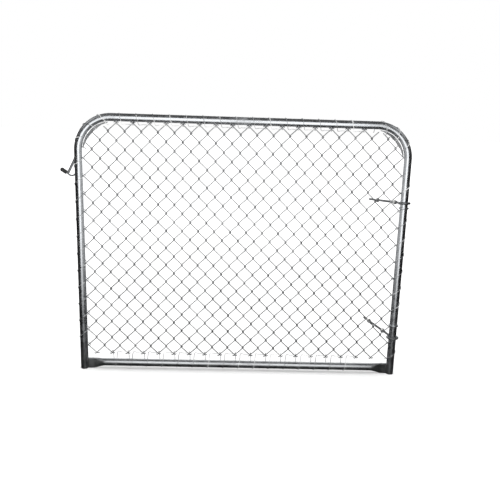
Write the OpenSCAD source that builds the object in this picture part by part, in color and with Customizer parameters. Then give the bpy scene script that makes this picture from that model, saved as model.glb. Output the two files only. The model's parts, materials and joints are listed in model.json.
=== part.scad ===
// Chain-mesh stock gate: a bent-tube hoop with a bottom rail, laced diamond mesh,
// two swivelling eye bolts on the hinge leg and a chain hook on the latch leg.
// X runs along the gate, +Y is the post side of the hinge bolts, +Z is up.
// The origin is on the hinge leg's axis, at its foot.

/* [Frame] */
// Overall width across both legs
gate_w = 1438; // [1400:2:1480]
// Overall height, foot to top of the hoop
gate_h = 1142; // [1120:1:1160]
// Outside diameter of the frame tube
tube_od = 33.7; // [33:0.1:34]
// Wall thickness of the frame tube
tube_wall = 2.6; // [2:0.1:3.2]
// Bend radius of the top corners, on the tube's centre line
bend_r = 140; // [130:5:150]
// Height of the bottom rail's underside above the foot
rail_clear = 13; // [8:1:18]
// Height of the flattened rail end where it meets the leg
fishtail_h = 48; // [42:1:52]
// Thickness of the flattened rail end
fishtail_t = 9; // [7:0.5:12]
// Length over which the rail's end is pressed from round to flat
fishtail_len = 78; // [60:2:90]
// Length of the flat blade next to the leg
blade_len = 20; // [14:1:26]

/* [Mesh] */
// Diameter of the mesh wire
wire_d = 4; // [3.6:0.1:4]
// Half the height of a diamond
row_step = 38.26; // [37.8:0.02:38.6]
// Space between the tube's face and the first column of bends
side_gap = 5.35; // [5.3:0.05:6]
// How far each bend reaches past the column, round its neighbour
hook_over = 3.15; // [3.15:0.05:3.2]
// Length of the bent-over end of each wire
knuckle_len = 7; // [5:0.5:9]

/* [Lacing] */
// Diameter of the lacing wire
lace_d = 2.5; // [2:0.1:2.8]
// How far the lacing passes beyond a mesh crossing
lace_reach = 10; // [10:0.5:12]

/* [Hinge bolts] */
// Bar and thread diameter of the eye bolts
bolt_d = 10; // [9:1:10]
// Length from the leg's axis to the bolt's tip
bolt_len = 300; // [290:5:320]
// Height of the upper eye
upper_z = 796; // [790:1:805]
// Swivel of the upper bolt from square, towards the gate
upper_swivel = 17; // [0:1:40]
// Droop of the upper bolt in its loose eye
upper_droop = 4.5; // [0:0.5:4.5]
// Height of the lower eye
lower_z = 176; // [174:1:178]
// Swivel of the lower bolt from square, towards the gate
lower_swivel = 13.5; // [0:0.5:40]
// Droop of the lower bolt in its loose eye
lower_droop = 1; // [0:0.5:4.5]
// Radial play of the eye round the leg
eye_play = 0.8; // [0.8:0.1:1.2]
// Distance of the upper inner nut from the leg's axis
upper_inner_at = 66; // [60:1:80]
// Distance of the upper outer washer from the leg's axis
upper_outer_at = 222; // [215:1:226]
// Distance of the lower inner nut from the leg's axis
lower_inner_at = 89; // [75:1:95]
// Distance of the lower outer washer from the leg's axis
lower_outer_at = 240; // [215:1:242]
// Centre height of the collar under the upper eye
upper_collar_z = 775; // [772:1:776]
// Centre height of the collar over the lower eye
lower_collar_z = 235; // [233:1:245]

/* [Latch hook] */
// Bar diameter of the chain hook
hook_d = 10; // [8:1:11]
// Diameter of the sleeve on the hook's tip
sleeve_d = 17; // [14:0.5:18]
// Height where the hook's bar leaves the leg
hook_top_z = 945; // [940:1:950]
// Height of the hook's elbow
hook_elbow_z = 885; // [880:1:890]
// Distance of the elbow from the latch leg's axis
hook_elbow_out = 46; // [44:1:50]

/* [Hidden] */
WIRES = 39;
ROWS = 27;
$fn = 64;

galvanised = [0.74, 0.76, 0.77];
wire_grey = [0.62, 0.64, 0.65];
dull_zinc = [0.50, 0.51, 0.52];
black_sleeve = [0.08, 0.08, 0.09];

tube_r = tube_od / 2;
leg_span = gate_w - tube_od;
top_z = gate_h - tube_r;
bend_z = top_z - bend_r;
rail_z = rail_clear + tube_r;
fit_gap = 0.05;
weld_size = 3;
weld_foot = 4;
weld_len = 42;
blade_foot = 1;
cut = 1;

// Mesh wire as a square bar with the round wire's own area, in two layers
bar = wire_d * sqrt(PI) / 2;
layer_gap = 0.3;
mesh_gap = 0.5;
half_depth = bar + layer_gap / 2;
first_col = tube_r + side_gap;
col_step = (leg_span - 2 * first_col) / WIRES;
first_row_z = gate_h - tube_od - mesh_gap - bar / 2;
last_row_z = first_row_z - ROWS * row_step;
corner_clear = 40;

// Lacing: wire section, loop size round the tube, and where each turn's points lie
lace_r = lace_d / 2;
lace_gap = 0.35;
lace_loop = (tube_r + lace_r + lace_gap) / cos(22.5);
lace_side = lace_loop * cos(45);
lace_y = 5.6;
lace_steps = [-0.03, 0.03, 0.15, 0.27, 0.40, 0.50, 0.60, 0.73, 0.85];
run_steps = [-0.03, 0.03, 0.07, 0.11, 0.15, 0.18, 0.21, 0.25, 0.29, 0.35];
arc_len = bend_r * PI / 2;
corner_reach = 30;
corner_turns = 3;
lace_break = 40;
corner_stop = 34;
top_first = 4;
top_last = WIRES - 5;
side_pass = 7.5;
side_reach = first_col - hook_over + side_pass;
top_reach = top_z - first_row_z + lace_reach;
rail_reach = last_row_z + lace_reach - rail_z;

bolt_r = bolt_d / 2;
thread_r = bolt_r - 0.5;
nut_bore = thread_r + fit_gap;
free_end = 36;
tip_cone = 2;
eye_r = tube_r + eye_play + bolt_r;
nut_flats = 16;
nut_h = 8.4;
washer_d = 20;
washer_t = 2;
washer_hole_r = 5.25;
seat_gap = 0.1;
collar_h = 6;
collar_r = tube_r + 5;

hook_root = [-8, hook_top_z + 14];
hook_elbow = [-hook_elbow_out, hook_elbow_z];
hook_tip = hook_elbow + [-23, 15.5];
hook_dir = (hook_tip - hook_elbow) / norm(hook_tip - hook_elbow);
sleeve_from = 7;
sleeve_to = 1;
sleeve_step = 0.4;
stay_r = 3.2;
stay_bow = 32;
stay_centre = hook_elbow + [17, stay_bow - 9];
stay_start = 238;
stay_angle = 66;

function wire_name(k) = str("mesh_wire_", k < 10 ? "0" : "", k);

// Columns and rows of the mesh: a wire bends at its left column on the rows where
// its number and the row's add up to an even number, else at its right column
function col_x(c) = first_col + c * col_step - leg_span;
function row_z(m) = first_row_z - m * row_step;
function at_left(k, m) = (k + m) % 2 == 0;
function bend_x(k, m) = at_left(k, m) ? col_x(k) - hook_over : col_x(k + 1) + hook_over;
function edge_dist(x) = min(x + leg_span, -x);
function corner_ok(x, z) =
    (edge_dist(x) >= bend_r || z <= bend_z)
    ? true
    : norm([bend_r - edge_dist(x), z - bend_z]) <= bend_r - corner_clear;
function first_row(k, m = 0) = corner_ok(bend_x(k, m), row_z(m)) ? m : first_row(k, m + 1);

// A point on the hoop's centre line at a run s from the latch leg's foot, and the
// direction from there into the mesh, both as [x, z]
top_run = leg_span - 2 * bend_r;
function hoop_turn(s) =
    s <= bend_z ? 0
    : s <= bend_z + arc_len ? (s - bend_z) / bend_r * 180 / PI
    : s <= bend_z + arc_len + top_run ? 90
    : s <= bend_z + 2 * arc_len + top_run ? 90 + (s - bend_z - arc_len - top_run) / bend_r * 180 / PI
    : 180;
function hoop_in(s) = [cos(hoop_turn(s)), -sin(hoop_turn(s))];
function hoop_at(s) =
    s <= bend_z ? [-leg_span, s]
    : s <= bend_z + arc_len ? [bend_r - leg_span, bend_z] - bend_r * hoop_in(s)
    : s <= bend_z + arc_len + top_run ? [s - bend_z - arc_len + bend_r - leg_span, top_z]
    : s <= bend_z + 2 * arc_len + top_run ? [-bend_r, bend_z] - bend_r * hoop_in(s)
    : [0, 2 * bend_z + 2 * arc_len + top_run - s];
function run_of_top(x) = bend_z + arc_len + x + leg_span - bend_r;
function run_of_right(z) = 2 * bend_z + 2 * arc_len + top_run - z;

// One turn of lacing as [inward, y] points: through the mesh, then round the tube.
// With the run's steps it comes back up early and lies along the mesh to the next pass
function lace_turn(reach) = [
    [reach, -lace_y], [reach, lace_y], [lace_side, lace_side],
    [0, lace_loop], [-lace_side, lace_side], [-lace_loop, 0],
    [-lace_side, -lace_side], [0, -lace_loop], [lace_side, -lace_side],
    [reach, -lace_y]
];
function hoop_lace_point(s, q) =
    let (p = hoop_at(s) + q[0] * hoop_in(s)) [p[0], q[1], p[1]];
function rail_lace_point(x, q) = [x, q[1], rail_z + q[0]];
function hoop_lace(s0, s1, turns, reach, steps = lace_steps) = [
    for (t = [0 : turns - 1], j = [0 : len(steps) - 1])
        hoop_lace_point(s0 + (t + steps[j]) * (s1 - s0) / turns, lace_turn(reach)[j]),
    for (j = [0, 1])
        hoop_lace_point(s1 + steps[j] * (s1 - s0) / turns, lace_turn(reach)[j])
];
function rail_lace(x0, x1, turns, reach, steps = lace_steps) = [
    for (t = [0 : turns - 1], j = [0 : len(steps) - 1])
        rail_lace_point(x0 + (t + steps[j]) * (x1 - x0) / turns, lace_turn(reach)[j]),
    for (j = [0, 1])
        rail_lace_point(x1 + steps[j] * (x1 - x0) / turns, lace_turn(reach)[j])
];

function unit(v) = v / norm(v);
function along(path, i) = unit(path[min(i + 1, len(path) - 1)] - path[max(i - 1, 0)]);

// A four-sided wire swept along a list of points
module wire_sweep(path, r) {
    sides = 4;
    lift = [0.31, 0.17, 0.93];
    points = [
        for (i = [0 : len(path) - 1])
            let (t = along(path, i), u = unit(cross(t, lift)), v = cross(t, u))
                for (a = [0 : sides - 1])
                    path[i] + r * (cos(a * 360 / sides) * u + sin(a * 360 / sides) * v)
    ];
    skin = [
        for (i = [0 : len(path) - 2], a = [0 : sides - 1])
            let (b = (a + 1) % sides, p = i * sides, q = p + sides)
                each [[p + a, p + b, q + b], [p + a, q + b, q + a]]
    ];
    last = (len(path) - 1) * sides;
    caps = [[3, 2, 1], [3, 1, 0], [last, last + 1, last + 2], [last, last + 2, last + 3]];
    polyhedron(points = points, faces = concat(skin, caps), convexity = 10);
}

module pipe(len) {
    difference() {
        cylinder(h = len, r = tube_r);
        translate([0, 0, -cut]) cylinder(h = len + 2 * cut, r = tube_r - tube_wall);
    }
}

module pipe_bend() {
    rotate_extrude(angle = 90) translate([bend_r, 0]) difference() {
        circle(r = tube_r);
        circle(r = tube_r - tube_wall);
    }
}

module frame_hoop() {
    color(galvanised) union() {
        pipe(bend_z);
        translate([-leg_span, 0, 0]) pipe(bend_z);
        translate([-bend_r, 0, top_z]) rotate([0, -90, 0]) pipe(top_run);
        translate([-bend_r, 0, bend_z]) rotate([90, 0, 0]) pipe_bend();
        translate([bend_r - leg_span, 0, bend_z]) rotate([90, 0, 180]) pipe_bend();
    }
}

// The rail's end: the round tube pressed into an upright blade at the leg
module blade(from, to, r) {
    hull() for (z = [blade_foot + fishtail_t / 2, blade_foot + fishtail_h - fishtail_t / 2])
        translate([from, 0, z]) rotate([0, 90, 0]) cylinder(h = to - from, r = r, $fn = 16);
}

module fishtail() {
    plug_r = tube_r - 0.5;
    plug_len = 6;
    neck_r = fishtail_t / 2 - 0.3;
    neck_len = 4;
    root = tube_r + fit_gap;
    blade(root, root + blade_len, fishtail_t / 2);
    hull() {
        blade(root + blade_len - 2 * neck_len, root + blade_len - neck_len, neck_r);
        translate([fishtail_len, 0, rail_z]) rotate([0, 90, 0]) cylinder(h = plug_len, r = plug_r, $fn = 32);
    }
}

module bottom_rail() {
    color(galvanised) union() {
        translate([-fishtail_len, 0, rail_z]) rotate([0, -90, 0]) pipe(leg_span - 2 * fishtail_len);
        translate([-leg_span, 0, 0]) fishtail();
        mirror([1, 0, 0]) fishtail();
    }
}

// Fillet welds up both faces of each blade, against the leg
module rail_welds() {
    reach = fishtail_t / 2 + fit_gap;
    block = 20;
    color(dull_zinc)
    for (leg = [0, 1], side = [-1, 1])
        translate([-leg * leg_span, 0, weld_foot]) mirror([1 - leg, 0, 0]) difference() {
            translate([tube_r, side * reach, 0]) cylinder(h = weld_len, r = weld_size, $fn = 24);
            translate([0, 0, -cut]) cylinder(h = weld_len + 2 * cut, r = tube_r + fit_gap);
            translate([0, side * (reach - block / 2) - block / 2, -cut])
                cube([2 * block, block, weld_len + 2 * cut]);
        }
}

// Cut mesh ends gathered into three wires along the inside of each bend
module corner_ties() {
    tie_gap = 3.4;
    tie_pitch = 4.3;
    tie_start = 8;
    tie_angle = 72;
    color(wire_grey)
    for (side = [0, 1], lane = [-1 : 1])
        translate([side == 0 ? -bend_r : bend_r - leg_span, lane * tie_pitch, bend_z])
            rotate([90, 0, side * 180]) rotate([0, 0, tie_start])
                rotate_extrude(angle = tie_angle) translate([bend_r - tube_r - tie_gap, 0])
                    circle(r = wire_d / 2, $fn = 32);
}

module stop_collars() {
    color(galvanised)
    for (z = [upper_collar_z, lower_collar_z])
        translate([0, 0, z - collar_h / 2]) difference() {
            cylinder(h = collar_h, r = collar_r);
            translate([0, 0, -cut]) cylinder(h = collar_h + 2 * cut, r = tube_r + fit_gap);
        }
}

// A round bar between two points of the gate's own plane, given as [x, z]
module plane_bar(a, b, r) {
    d = b - a;
    translate([a[0], 0, a[1]]) rotate([0, 90 - atan2(d[1], d[0]), 0]) cylinder(h = norm(d), r = r);
}

module latch_hook() {
    bar_r = hook_d / 2;
    clear = 2 * hook_elbow_out;
    color(galvanised) translate([-leg_span, 0, 0]) difference() {
        union() {
            plane_bar(hook_root, hook_elbow, bar_r);
            translate([hook_elbow[0], 0, hook_elbow[1]]) sphere(r = bar_r + 0.4);
            plane_bar(hook_elbow, hook_tip, bar_r);
            translate([stay_centre[0], 0, stay_centre[1]]) rotate([90, 0, 0])
                rotate([0, 0, stay_start]) rotate_extrude(angle = stay_angle)
                    translate([stay_bow, 0]) circle(r = stay_r, $fn = 32);
        }
        translate([0, 0, hook_elbow_z - clear / 2]) cylinder(h = 2 * clear, r = tube_r + fit_gap);
    }
}

// Sleeve over the hook's tip, with a domed end a small step narrower than its side
module hook_sleeve() {
    end = hook_tip + sleeve_to * hook_dir;
    color(black_sleeve) translate([-leg_span, 0, 0]) difference() {
        union() {
            plane_bar(hook_elbow + sleeve_from * hook_dir, end, sleeve_d / 2);
            translate([end[0], 0, end[1]]) sphere(r = sleeve_d / 2 - sleeve_step);
        }
        plane_bar(hook_elbow - hook_dir, hook_tip + fit_gap * hook_dir, hook_d / 2 + fit_gap);
    }
}

// The zigzag lies in two layers: the front one falls to the right, the back one to the left
module wire_layer(front) {
    low = front ? -half_depth : layer_gap / 2;
    translate([0, low + bar, 0]) rotate([90, 0, 0]) linear_extrude(bar) children();
}

module slope(a, b) {
    n = bar / 2 * unit([a[1] - b[1], b[0] - a[0]]);
    polygon([a + n, b + n, b - n, a - n]);
}

module knuckle(k, m) {
    x = bend_x(k, m);
    out = at_left(k, m) ? -1 : 1;
    edge = edge_dist(x) < first_col;
    if (!edge)
        slope([x, row_z(m)], [x + out * knuckle_len, row_z(m)]);
}

module mesh_wire(k) {
    top = first_row(k);
    color(wire_grey) union() {
        for (m = [top : ROWS - 1])
            wire_layer(at_left(k, m))
                slope([bend_x(k, m), row_z(m)], [bend_x(k, m + 1), row_z(m + 1)]);
        for (m = [top : ROWS])
            translate([bend_x(k, m) - bar / 2, -half_depth, row_z(m) - bar / 2])
                cube([bar, 2 * half_depth, bar]);
        wire_layer(!at_left(k, top)) knuckle(k, top);
        wire_layer(at_left(k, ROWS)) knuckle(k, ROWS);
    }
}

// Turns pass through the mesh at the crossings next to the tube
module lacing_top() {
    color(dull_zinc)
        wire_sweep(hoop_lace(run_of_top(col_x(top_first)), run_of_top(col_x(top_last)),
            (top_last - top_first) / 2, top_reach, run_steps), lace_r);
}

module lacing_latch_leg() {
    color(dull_zinc) {
        wire_sweep(hoop_lace(row_z(26), row_z(4), 11, side_reach), lace_r);
        wire_sweep(hoop_lace(row_z(4) + lace_break, run_of_top(col_x(top_first)) - lace_break,
            corner_turns, corner_reach), lace_r);
    }
}

// Broken off at the rows next to each eye and collar
module lacing_hinge_leg() {
    color(dull_zinc) {
        wire_sweep(hoop_lace(run_of_top(col_x(top_last)) + lace_break, run_of_right(row_z(3)) - corner_stop,
            corner_turns, corner_reach), lace_r);
        wire_sweep(hoop_lace(run_of_right(row_z(5)), run_of_right(row_z(7)), 1, side_reach), lace_r);
        wire_sweep(hoop_lace(run_of_right(row_z(9)), run_of_right(row_z(21)), 6, side_reach), lace_r);
        wire_sweep(hoop_lace(run_of_right(row_z(25)), run_of_right(row_z(27)), 1, side_reach), lace_r);
    }
}

module lacing_rail() {
    first = 3;
    last = WIRES - 4;
    color(dull_zinc)
        wire_sweep(rail_lace(col_x(first), col_x(last), (last - first) / 2, rail_reach, run_steps), lace_r);
}

// Stands a hinge bolt's own frame, with its rod along +Y, at its height and angles
module on_leg(z, swivel, droop) {
    translate([0, 0, z]) rotate([0, 0, swivel]) rotate([-droop, 0, 0]) children();
}

module upper() {
    on_leg(upper_z, upper_swivel, upper_droop) children();
}

module lower() {
    on_leg(lower_z, lower_swivel, lower_droop) children();
}

module rod(from, to, r) {
    translate([0, from, 0]) rotate([-90, 0, 0]) cylinder(h = to - from, r = r);
}

module eye_bolt() {
    color(galvanised) union() {
        rotate_extrude() translate([eye_r, 0]) circle(r = bolt_r);
        rod(eye_r, bolt_len - free_end, thread_r);
        rod(bolt_len - free_end, bolt_len - tip_cone, bolt_r);
        translate([0, bolt_len - tip_cone, 0]) rotate([-90, 0, 0])
            cylinder(h = tip_cone, r1 = bolt_r, r2 = bolt_r - tip_cone);
    }
}

module nut(at) {
    color(dull_zinc) translate([0, at, 0]) rotate([-90, 0, 0]) difference() {
        cylinder(h = nut_h, r = nut_flats / 2 / cos(30), $fn = 6);
        translate([0, 0, -cut]) cylinder(h = nut_h + 2 * cut, r = nut_bore);
    }
}

module washer(at) {
    color(galvanised) translate([0, at, 0]) rotate([-90, 0, 0]) difference() {
        cylinder(h = washer_t, r = washer_d / 2);
        translate([0, 0, -cut]) cylinder(h = washer_t + 2 * cut, r = washer_hole_r);
    }
}

module upper_eye_bolt() { upper() eye_bolt(); }
module upper_inner_nut() { upper() nut(upper_inner_at); }
module upper_inner_washer() { upper() washer(upper_inner_at + nut_h + seat_gap); }
module upper_outer_washer() { upper() washer(upper_outer_at); }
module upper_outer_nut() { upper() nut(upper_outer_at + washer_t + seat_gap); }
module lower_eye_bolt() { lower() eye_bolt(); }
module lower_inner_nut() { lower() nut(lower_inner_at); }
module lower_inner_washer() { lower() washer(lower_inner_at + nut_h + seat_gap); }
module lower_outer_washer() { lower() washer(lower_outer_at); }
module lower_outer_nut() { lower() nut(lower_outer_at + washer_t + seat_gap); }

frame_hoop();
bottom_rail();
rail_welds();
corner_ties();
stop_collars();
latch_hook();
hook_sleeve();
lacing_top();
lacing_latch_leg();
lacing_hinge_leg();
lacing_rail();
upper_eye_bolt();
upper_inner_nut();
upper_inner_washer();
upper_outer_washer();
upper_outer_nut();
lower_eye_bolt();
lower_inner_nut();
lower_inner_washer();
lower_outer_washer();
lower_outer_nut();
for (k = [1 : WIRES])
    mesh_wire(k - 1);
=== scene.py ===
"""Looks for a chain-mesh stock gate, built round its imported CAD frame.

Lengths are in metres, in the frame's own axes: X along the gate, +Y to the post side, Z up.
The origin is on the hinge leg's axis at its foot.
"""

import json
import logging
import math
from collections.abc import Callable
from dataclasses import dataclass, field
from enum import Enum

import bpy
import numpy as np
from mathutils import Matrix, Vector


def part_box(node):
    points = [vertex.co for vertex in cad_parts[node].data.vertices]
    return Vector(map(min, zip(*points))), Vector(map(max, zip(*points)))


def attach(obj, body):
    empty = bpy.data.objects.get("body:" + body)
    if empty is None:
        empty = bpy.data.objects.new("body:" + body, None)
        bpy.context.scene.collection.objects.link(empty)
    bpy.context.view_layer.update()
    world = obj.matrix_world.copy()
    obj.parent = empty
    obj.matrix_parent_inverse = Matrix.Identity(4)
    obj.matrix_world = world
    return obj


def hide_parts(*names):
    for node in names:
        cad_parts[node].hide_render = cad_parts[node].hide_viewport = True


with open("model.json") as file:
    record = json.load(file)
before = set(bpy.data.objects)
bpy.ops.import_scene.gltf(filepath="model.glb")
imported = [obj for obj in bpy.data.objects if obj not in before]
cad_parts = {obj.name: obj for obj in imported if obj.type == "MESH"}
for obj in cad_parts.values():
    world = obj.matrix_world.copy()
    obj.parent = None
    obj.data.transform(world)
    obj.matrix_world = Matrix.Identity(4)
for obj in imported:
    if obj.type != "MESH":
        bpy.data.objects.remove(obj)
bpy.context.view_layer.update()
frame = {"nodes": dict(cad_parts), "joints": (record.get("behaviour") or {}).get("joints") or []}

log = logging.getLogger("gate")

PANEL = "gate_panel"
MESH_WIRES = 39
MESH_ROWS = 27
MM = 0.001


class Side(Enum):
    """Which leg of the gate a piece belongs to."""

    LATCH = -1
    HINGE = 1


class Lay(Enum):
    """How lacing lies between its passes through the mesh."""

    SPIRAL = "spiral"
    RUN = "run"


class Slot(Enum):
    """The record's material slots."""

    TUBE = "galvanised_tube"
    BAR = "galvanised_bar"
    MESH = "mesh_wire"
    LACING = "lacing_wire"
    FASTENER = "zinc_fastener"
    WELD = "weld"
    SLEEVE = "black_sleeve"


# ---------------------------------------------------------------- mesh making


def mesh_piece(name: str, points: np.ndarray, faces: list, smooth: bool = True) -> bpy.types.Object:
    """Makes a mesh object at the origin.

    Args:
        name: The piece's name.
        points: Vertex positions, one row each.
        faces: Vertex indices of each face.
        smooth: Whether the faces are shaded smooth.

    Returns:
        The new object, linked to the scene.
    """
    data = bpy.data.meshes.new(name)
    data.from_pydata([tuple(p) for p in np.asarray(points, float)], [], faces)
    data.validate()
    data.polygons.foreach_set("use_smooth", [smooth] * len(data.polygons))
    piece = bpy.data.objects.new(name, data)
    bpy.context.scene.collection.objects.link(piece)
    return piece


def carried_frames(path: np.ndarray, closed: bool) -> tuple:
    """Carries a pair of cross directions along a path without twist.

    Args:
        path: Points of the path.
        closed: Whether its last point joins its first.

    Returns:
        Two arrays of unit vectors, across the path at each point.
    """
    ahead, behind = np.roll(path, -1, 0), np.roll(path, 1, 0)
    if not closed:
        ahead[-1], behind[0] = path[-1], path[0]
    tangent = ahead - behind
    tangent /= np.linalg.norm(tangent, axis=1)[:, None]
    start = np.array([0.31, 0.17, 0.93])
    if abs(start @ tangent[0]) > 0.9:
        start = np.array([0.93, 0.31, 0.17])
    across = np.zeros_like(path)
    current = start
    for i, direction in enumerate(tangent):
        current = current - (current @ direction) * direction
        current = current / np.linalg.norm(current)
        across[i] = current
    return across, np.cross(tangent, across)


def even_turn(steps: int) -> np.ndarray:
    """Returns even angles round a full turn."""
    return np.arange(steps) * 2 * math.pi / steps


def ring_faces(rings: int, sides: int, looped: bool = False, capped: bool = False) -> list:
    """Joins rings of points, one after another, into a skin.

    Args:
        rings: Number of rings.
        sides: Points in each ring.
        looped: Whether the last ring joins the first.
        capped: Whether the first and last rings are closed with a face.

    Returns:
        Vertex indices of each face.
    """
    faces = []
    for i in range(rings if looped else rings - 1):
        a, b = i * sides, (i + 1) % rings * sides
        for j in range(sides):
            k = (j + 1) % sides
            faces.append((a + j, a + k, b + k, b + j))
    if capped:
        faces.append(tuple(reversed(range(sides))))
        faces.append(tuple(range((rings - 1) * sides, rings * sides)))
    return faces


def turned_over(faces: list) -> list:
    """Returns faces that look the other way."""
    return [tuple(reversed(face)) for face in faces]


def swept_skin(path: np.ndarray, radius: float | np.ndarray, sides: int, closed: bool = False) -> tuple:
    """Works out a round skin along a path.

    Args:
        path: Points of the centre line, no two neighbours alike.
        radius: One radius, or one for each point.
        sides: Points round each ring.
        closed: Whether the path is a loop. Otherwise its ends are capped.

    Returns:
        Vertex positions and faces.
    """
    path = np.asarray(path, float)
    u, v = carried_frames(path, closed)
    radius = np.broadcast_to(np.asarray(radius, float), (len(path),))
    angle = even_turn(sides)
    ring = np.cos(angle)[None, :, None] * u[:, None] + np.sin(angle)[None, :, None] * v[:, None]
    points = (path[:, None] + radius[:, None, None] * ring).reshape(-1, 3)
    return points, ring_faces(len(path), sides, looped=closed, capped=not closed)


def joined(parts: list) -> tuple:
    """Puts several skins into one.

    Args:
        parts: Pairs of points and faces.

    Returns:
        All the points, and all the faces numbered to suit.
    """
    points, faces, base = [], [], 0
    for part_points, part_faces in parts:
        points.append(np.asarray(part_points, float))
        faces += [tuple(base + i for i in face) for face in part_faces]
        base += len(part_points)
    return np.concatenate(points), faces


def lathe(profile: list, sides: int) -> tuple:
    """Turns a closed profile about the local Y axis.

    Args:
        profile: Pairs of distance along the axis and radius.
        sides: Steps round the axis.

    Returns:
        Vertex positions and faces.
    """
    angle = even_turn(sides)
    rows = [np.stack([r * np.cos(angle), np.full(sides, y), r * np.sin(angle)], 1) for y, r in profile]
    return np.concatenate(rows), ring_faces(len(profile), sides, looped=True)


def smooth_path(points: list, per_span: int) -> np.ndarray:
    """Rounds a list of points into an even curve through them.

    Args:
        points: Points the curve passes through.
        per_span: Steps between neighbouring points.

    Returns:
        Points of the curve.
    """
    p = np.asarray(points, float)
    p = np.concatenate([2 * p[:1] - p[1:2], p, 2 * p[-1:] - p[-2:-1]])
    t = (np.arange(per_span) / per_span)[None, :, None]
    a, b, c, d = p[:-3, None], p[1:-2, None], p[2:-1, None], p[3:, None]
    square, cube = 2 * a - 5 * b + 4 * c - d, 3 * b - a - 3 * c + d
    curve = 0.5 * (2 * b + (c - a) * t + square * t**2 + cube * t**3)
    return np.concatenate([curve.reshape(-1, 3), p[-2:-1]])


# ---------------------------------------------------------------- finishes


def group_tree(name: str, inputs: list, outputs: list) -> tuple:
    """Starts a shader node group.

    Args:
        name: The group's name.
        inputs: Names and default values of its float inputs.
        outputs: Names of its float outputs.

    Returns:
        The tree, its input node and its output node.
    """
    tree = bpy.data.node_groups.new(name, "ShaderNodeTree")
    for label, value in inputs:
        socket = tree.interface.new_socket(name=label, in_out="INPUT", socket_type="NodeSocketFloat")
        socket.default_value = value
    for label in outputs:
        tree.interface.new_socket(name=label, in_out="OUTPUT", socket_type="NodeSocketFloat")
    return tree, tree.nodes.new("NodeGroupInput"), tree.nodes.new("NodeGroupOutput")


def math_node(tree: bpy.types.NodeTree, kind: str, a: object, b: object, clamp: bool = False) -> object:
    """Adds a math node and returns its output.

    Args:
        tree: The node tree.
        kind: The operation.
        a: A number or an output socket.
        b: A number or an output socket.
        clamp: Whether the result is kept from 0 to 1.

    Returns:
        The node's output socket.
    """
    node = tree.nodes.new("ShaderNodeMath")
    node.operation = kind
    node.use_clamp = clamp
    for socket, value in zip(node.inputs, (a, b)):
        if isinstance(value, bpy.types.NodeSocket):
            tree.links.new(value, socket)
        else:
            socket.default_value = value
    return node.outputs[0]


def weighted(tree: bpy.types.NodeTree, a: object, a_weight: float, b: object, b_weight: float) -> object:
    """Adds two values, each times its own weight.

    Args:
        tree: The node tree.
        a: An output socket.
        a_weight: Its weight.
        b: Another output socket.
        b_weight: Its weight.

    Returns:
        The sum's output socket.
    """
    first = math_node(tree, "MULTIPLY", a, a_weight)
    return math_node(tree, "ADD", first, math_node(tree, "MULTIPLY", b, b_weight))


def ranged(
    tree: bpy.types.NodeTree, value: object, low: float, high: float, to_low: float, to_high: float
) -> object:
    """Maps a value smoothly from one range to another.

    Args:
        tree: The node tree.
        value: The socket to map.
        low: Start of the range that is read.
        high: End of the range that is read.
        to_low: Result at the start.
        to_high: Result at the end.

    Returns:
        The node's output socket.
    """
    node = tree.nodes.new("ShaderNodeMapRange")
    node.interpolation_type = "SMOOTHSTEP"
    tree.links.new(value, node.inputs["Value"])
    for label, number in zip(("From Min", "From Max", "To Min", "To Max"), (low, high, to_low, to_high)):
        node.inputs[label].default_value = number
    return node.outputs["Result"]


def noise(tree: bpy.types.NodeTree, coords: object, scale: object, detail: float) -> object:
    """Adds a noise texture and returns its value.

    Args:
        tree: The node tree.
        coords: The coordinates socket.
        scale: A number or an output socket.
        detail: The noise's detail.

    Returns:
        The node's Fac output.
    """
    node = tree.nodes.new("ShaderNodeTexNoise")
    node.inputs["Detail"].default_value = detail
    tree.links.new(coords, node.inputs["Vector"])
    if isinstance(scale, bpy.types.NodeSocket):
        tree.links.new(scale, node.inputs["Scale"])
    else:
        node.inputs["Scale"].default_value = scale
    return node.outputs["Fac"]


def object_coords(tree: bpy.types.NodeTree) -> object:
    """Returns the object coordinates, which are the frame's own, in metres."""
    return tree.nodes.new("ShaderNodeTexCoord").outputs["Object"]


def spangle_group() -> bpy.types.NodeTree:
    """Zinc crystals: flat cells of slightly different grey, broken up by fine grain."""
    tree, given, out = group_tree("zinc_spangle", [("Scale", 70.0), ("Grain", 900.0)], ["Tone", "Height"])
    coords = object_coords(tree)
    cells = tree.nodes.new("ShaderNodeTexVoronoi")
    tree.links.new(coords, cells.inputs["Vector"])
    tree.links.new(given.outputs["Scale"], cells.inputs["Scale"])
    parts = tree.nodes.new("ShaderNodeSeparateColor")
    tree.links.new(cells.outputs["Color"], parts.inputs["Color"])
    grain = noise(tree, coords, given.outputs["Grain"], 3.0)
    tree.links.new(weighted(tree, parts.outputs[0], 0.7, grain, 0.3), out.inputs["Tone"])
    tree.links.new(weighted(tree, parts.outputs[1], 0.35, grain, 1.0), out.inputs["Height"])
    return tree


def oxide_group() -> bpy.types.NodeTree:
    """Pale, chalky oxide in soft patches with ragged edges."""
    tree, given, out = group_tree("white_oxide", [("Scale", 14.0), ("Amount", 0.3)], ["Mask"])
    coords = object_coords(tree)
    broad = noise(tree, coords, given.outputs["Scale"], 4.0)
    fine = noise(tree, coords, 420.0, 4.0)
    mask = ranged(tree, weighted(tree, broad, 0.75, fine, 0.25), 0.47, 0.62, 0.0, 1.0)
    tree.links.new(math_node(tree, "MULTIPLY", mask, given.outputs["Amount"], True), out.inputs["Mask"])
    return tree


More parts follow.
